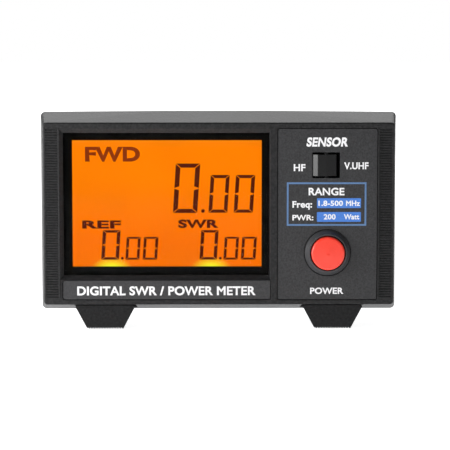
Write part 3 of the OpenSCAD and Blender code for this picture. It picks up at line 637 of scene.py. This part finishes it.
powder_tree.links.new(powder_bump.outputs["Normal"], powder_shader.inputs["Normal"])
wear(powder, "top_cover", "rear_panel")
galvanised = grain(plain("zinc coated chassis steel", "#a9adb0", 0.4, Metallic=1.0),
                   5.0, 0.02, "#9da2a5", "#b6b9bb", edge=0.2)
wear(galvanised, "bottom_chassis")
wear(black_oxide, "cover_screws")
foot_rubber = grain(plain("black foot rubber", "#191919", 0.75, Specular_IOR_Level=0.25),
                    0.5, 0.02, "#161616", "#1e1e1e", edge=0.4)
wear(foot_rubber, "rubber_feet")


# Rear sockets. Each is a brass shell with a fine thread, turned and pressed into a square flange, and
# bright nickel plated. The plate mirrors softly, with faint lathe lines and patches of tarnish.
smooth_angle = math.radians(38)


def turned(name, steps, sides):
    """Pulls a circle through (radius, height) steps in mm about Z, and closes it on itself."""
    bpy.ops.object.select_all(action="DESELECT")
    bpy.context.tool_settings.mesh_select_mode = (True, False, False)
    bpy.ops.mesh.primitive_circle_add(vertices=sides, radius=steps[0][0] * MM, fill_type="NOTHING")
    piece = bpy.context.object
    piece.name = name
    bpy.ops.object.mode_set(mode="EDIT")
    bpy.ops.mesh.select_all(action="SELECT")
    bpy.ops.transform.translate(value=(0, 0, steps[0][1] * MM))
    for (wide, low), (wider, high) in zip(steps, steps[1:]):
        bpy.ops.mesh.extrude_region_move(TRANSFORM_OT_translate={"value": (0, 0, (high - low) * MM)})
        bpy.ops.transform.resize(value=(wider / wide, wider / wide, 1))
    bpy.ops.mesh.select_all(action="SELECT")
    bpy.ops.mesh.remove_doubles(threshold=0.002 * MM)
    bpy.ops.mesh.normals_make_consistent(inside=False)
    bpy.ops.object.mode_set(mode="OBJECT")
    bpy.ops.object.shade_smooth_by_angle(angle=smooth_angle)
    return piece


shell_low, shell_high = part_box("socket_shells")
panel_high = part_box("rear_panel")[1]
flange_back = panel_high.y / MM
flange_side, flange_thick = 25.4, 1.6
shell_long = shell_high.y / MM - flange_back
shell_r, bore_r, root_r, thread_pitch = 7.94, 6.3, 7.35, 1.06
shell_start, shell_chamfer = -3.0, 0.25
socket_height = (shell_low.z + shell_high.z) / 2
socket_across = (("hf_radio", 56.0), ("hf_aerial", 22.0), ("vuhf_radio", -22.0), ("vuhf_aerial", -56.0))

profile = [(bore_r, shell_start), (shell_r - shell_chamfer, shell_start),
           (shell_r - shell_chamfer, flange_thick + 0.6), (root_r, flange_thick + 1.0)]
thread_at = flange_thick + 1.5
while thread_at + thread_pitch < shell_long - 0.6:
    profile += [(root_r, thread_at), (shell_r, thread_at + 0.42 * thread_pitch),
                (shell_r, thread_at + 0.58 * thread_pitch), (root_r, thread_at + thread_pitch)]
    thread_at += thread_pitch
profile += [(root_r, shell_long - 0.4), (root_r - 0.3, shell_long), (bore_r + shell_chamfer, shell_long),
            (bore_r, shell_long - shell_chamfer), (bore_r, shell_start)]
shell = turned("socket_shell", profile, sides=56)

bpy.ops.object.select_all(action="DESELECT")
bpy.ops.mesh.primitive_plane_add(size=flange_side * MM)
flange = bpy.context.object
bpy.ops.object.mode_set(mode="EDIT")
bpy.ops.mesh.select_all(action="SELECT")
bpy.ops.mesh.bevel(affect="VERTICES", offset=1.5 * MM, segments=7)
bpy.ops.mesh.select_all(action="SELECT")
bpy.ops.mesh.delete(type="ONLY_FACE")
hole_sides = 32  # as many points as the square outline has, so that the two bridge evenly
bpy.ops.mesh.primitive_circle_add(vertices=hole_sides, radius=(bore_r + 0.5) * MM, fill_type="NOTHING",
                                  rotation=(0, 0, math.pi / hole_sides))
bpy.ops.mesh.select_all(action="SELECT")
bpy.ops.mesh.bridge_edge_loops()
bpy.ops.mesh.select_all(action="SELECT")
bpy.ops.mesh.normals_make_consistent(inside=False)
bpy.ops.mesh.extrude_region_move(TRANSFORM_OT_translate={"value": (0, 0, flange_thick * MM)})
bpy.ops.mesh.select_all(action="SELECT")
bpy.ops.mesh.normals_make_consistent(inside=False)
bpy.ops.object.mode_set(mode="OBJECT")
rim_break = flange.modifiers.new("edge break", "BEVEL")
rim_break.width = 0.2 * MM
rim_break.segments = 2
rim_break.limit_method = "ANGLE"
rim_break.angle_limit = math.radians(50)
bpy.ops.object.modifier_apply(modifier=rim_break.name)
bpy.ops.object.shade_smooth_by_angle(angle=smooth_angle)
bpy.ops.object.select_all(action="DESELECT")
flange.select_set(True)
shell.select_set(True)
bpy.context.view_layer.objects.active = shell
bpy.ops.object.join()

nickel = plain("bright nickel plate on turned brass", "#c2bfb6", 0.24, Metallic=1.0)
nickel_tree = nickel.node_tree
nickel_at = add(nickel_tree, "ShaderNodeTexCoord")
lathe = add(nickel_tree, "ShaderNodeMapping", {"Scale": (0.05, 1.0, 0.05)},
            {"Vector": nickel_at.outputs["Object"]})
tool_marks = add(nickel_tree, "ShaderNodeTexNoise", {"Scale": 1 / (0.12 * MM), "Detail": 2.0},
                 {"Vector": lathe.outputs["Vector"]})
tarnish = add(nickel_tree, "ShaderNodeTexNoise", {"Scale": 1 / (3.5 * MM), "Detail": 3.0},
              {"Vector": nickel_at.outputs["Object"]})
nickel_tone = add(nickel_tree, "ShaderNodeValToRGB", links={"Fac": tarnish.outputs["Fac"]})
nickel_tone.color_ramp.elements[0].color = rgb("#aeaba0")
nickel_tone.color_ramp.elements[1].color = rgb("#cfccc4")
nickel_gloss = add(nickel_tree, "ShaderNodeMapRange", {"To Min": 0.16, "To Max": 0.36},
                   {"Value": tarnish.outputs["Fac"]})
nickel_bump = add(nickel_tree, "ShaderNodeBump", {"Strength": 0.5, "Distance": 0.004 * MM},
                  {"Height": tool_marks.outputs["Fac"]})
nickel_shader = nickel_tree.nodes["Principled BSDF"]
nickel_tree.links.new(nickel_tone.outputs["Color"], nickel_shader.inputs["Base Color"])
nickel_tree.links.new(nickel_gloss.outputs["Result"], nickel_shader.inputs["Roughness"])
nickel_tree.links.new(nickel_bump.outputs["Normal"], nickel_shader.inputs["Normal"])
to_rear = Matrix.Rotation(math.radians(-90), 4, "X")
for name, across in socket_across:
    socket = shell.copy()
    socket.data = shell.data.copy()
    socket.name = "socket_" + name
    bpy.context.scene.collection.objects.link(socket)
    socket.data.transform(Matrix.Translation((across * MM, panel_high.y, socket_height)) @ to_rear)
    socket.data.materials.append(nickel)
    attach(socket, "case")
    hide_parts("socket_shells")
bpy.data.objects.remove(shell)

# Socket insides. A white fluoropolymer bush turned to fit the shell holds a gilt contact; four zinc
# plated screws hold each flange to the panel.
insulator = grain(plain("turned white fluoropolymer", "#ebe8df", 0.5, Subsurface_Weight=0.15,
                        Subsurface_Scale=0.001),
                  0.4, 0.008, "#e4e1d7", "#f2efe8", edge=0.15)
wear(insulator, "socket_insulators")
gilt = grain(plain("gilt contact", "#d9b45b", 0.22, Metallic=1.0),
             0.5, 0.004, "#cfa94e", "#e2c070", edge=0.05)
wear(gilt, "socket_contacts")
wear(zinc, "socket_screws")

# Power inlet. A barrel socket moulded in black polyamide, satin from its tool, and held to the rear
# panel from inside by a zinc plated nut.
jack_plastic = grain(plain("moulded black polyamide", "#161617", 0.45),
                     0.4, 0.01, "#131314", "#1b1b1c", edge=0.12)
wear(jack_plastic, "dc_jack")
wear(zinc, "dc_jack_nut")

# Earth terminal. A brass stud with a washer and a thumb nut, turned and then knurled so that fingers
# grip it; the knurl's 40 straight ribs show as bright and dark lines.
stud_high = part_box("ground_terminal")[1]
nut_r, nut_out, nut_long = 5.4, 0.8, 5.2
nut_end = nut_out + nut_long
knurl_points, knurl_valley = 80, 0.93
stud_r, stud_start, stud_end = 2.0, -4.0, stud_high.y / MM - flange_back
stud_pitch, stud_depth, stud_core = 0.7, 0.28, 0.05
knob = turned("earth_thumb_nut", [
    (stud_r, nut_out), (nut_r - 0.5, nut_out), (nut_r, nut_out + 0.5), (nut_r, nut_end - 1.5),
    (nut_r - 0.5, nut_end - 1.0), (nut_r - 1.4, nut_end - 0.9), (nut_r - 1.7, nut_end),
    (stud_r, nut_end), (stud_r, nut_out)], sides=knurl_points)
bpy.context.view_layer.objects.active = knob
bpy.ops.object.mode_set(mode="EDIT")
bpy.context.tool_settings.mesh_select_mode = (True, False, False)


def on_a_knurl_valley(point):
    """True for every other line of points round the nut's gripping face."""
    turn = round(math.atan2(point.co.y, point.co.x) / (2 * math.pi) * knurl_points)
    return math.hypot(point.co.x, point.co.y) > (nut_r - 0.05) * MM and turn % 2 == 0


select_where(knob, "verts", on_a_knurl_valley)
bpy.ops.transform.resize(value=(knurl_valley, knurl_valley, 1))
bpy.ops.object.mode_set(mode="OBJECT")
washer = turned("earth_washer", [
    (stud_r, 0.0), (4.4, 0.0), (4.6, 0.2), (4.6, 0.6), (4.4, nut_out), (stud_r, nut_out),
    (stud_r, 0.0)], sides=40)
turn_at = nut_end + 0.2
stud_steps = [(stud_core, stud_start), (stud_r, stud_start), (stud_r, turn_at)]
while turn_at + stud_pitch < stud_end - 0.5:
    stud_steps += [(stud_r - stud_depth, turn_at + stud_pitch / 2), (stud_r, turn_at + stud_pitch)]
    turn_at += stud_pitch
stud_steps += [(stud_r - 0.4, stud_end - 0.1), (stud_r - 0.55, stud_end), (stud_core, stud_end),
               (stud_core, stud_start)]
stud = turned("earth_stud", stud_steps, sides=32)
bpy.ops.object.select_all(action="DESELECT")
for part in (knob, washer, stud):
    part.select_set(True)
bpy.context.view_layer.objects.active = knob
bpy.ops.object.join()
knob.name = "earth_terminal"
knob.data.transform(Matrix.Translation((0, panel_high.y, socket_height)) @ to_rear)
knob.data.materials.append(brass)
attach(knob, "case")
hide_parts("ground_terminal")

# Rear legends. White screen printing on the powder coat, over each socket, the inlet and the stud. The
# letters are lighter than those on the face.
thin = 0.022
rear_front, rear_back = flange_back - 0.01, flange_back + 0.05
for name, text, across, base, wide, tall in (
    ("rear_hf_radio", "HF TX", 56.0, 73.6, 12.5, 3.0),
    ("rear_hf_aerial", "HF ANT", 22.0, 73.6, 15.5, 3.0),
    ("rear_vuhf_radio", "V.UHF TX", -22.0, 73.6, 20.0, 3.0),
    ("rear_vuhf_aerial", "V.UHF ANT", -56.0, 73.6, 23.0, 3.0),
    ("rear_inlet", "DC 13.8 V", 0.0, 20.8, 18.0, 2.8),
    ("rear_earth", "GND", 0.0, 65.6, 8.5, 2.8),
):
    lettering(name, text, across - wide / 2, across + wide / 2, base, base + tall, rear_front, rear_back,
              thin, ink, rear=True)
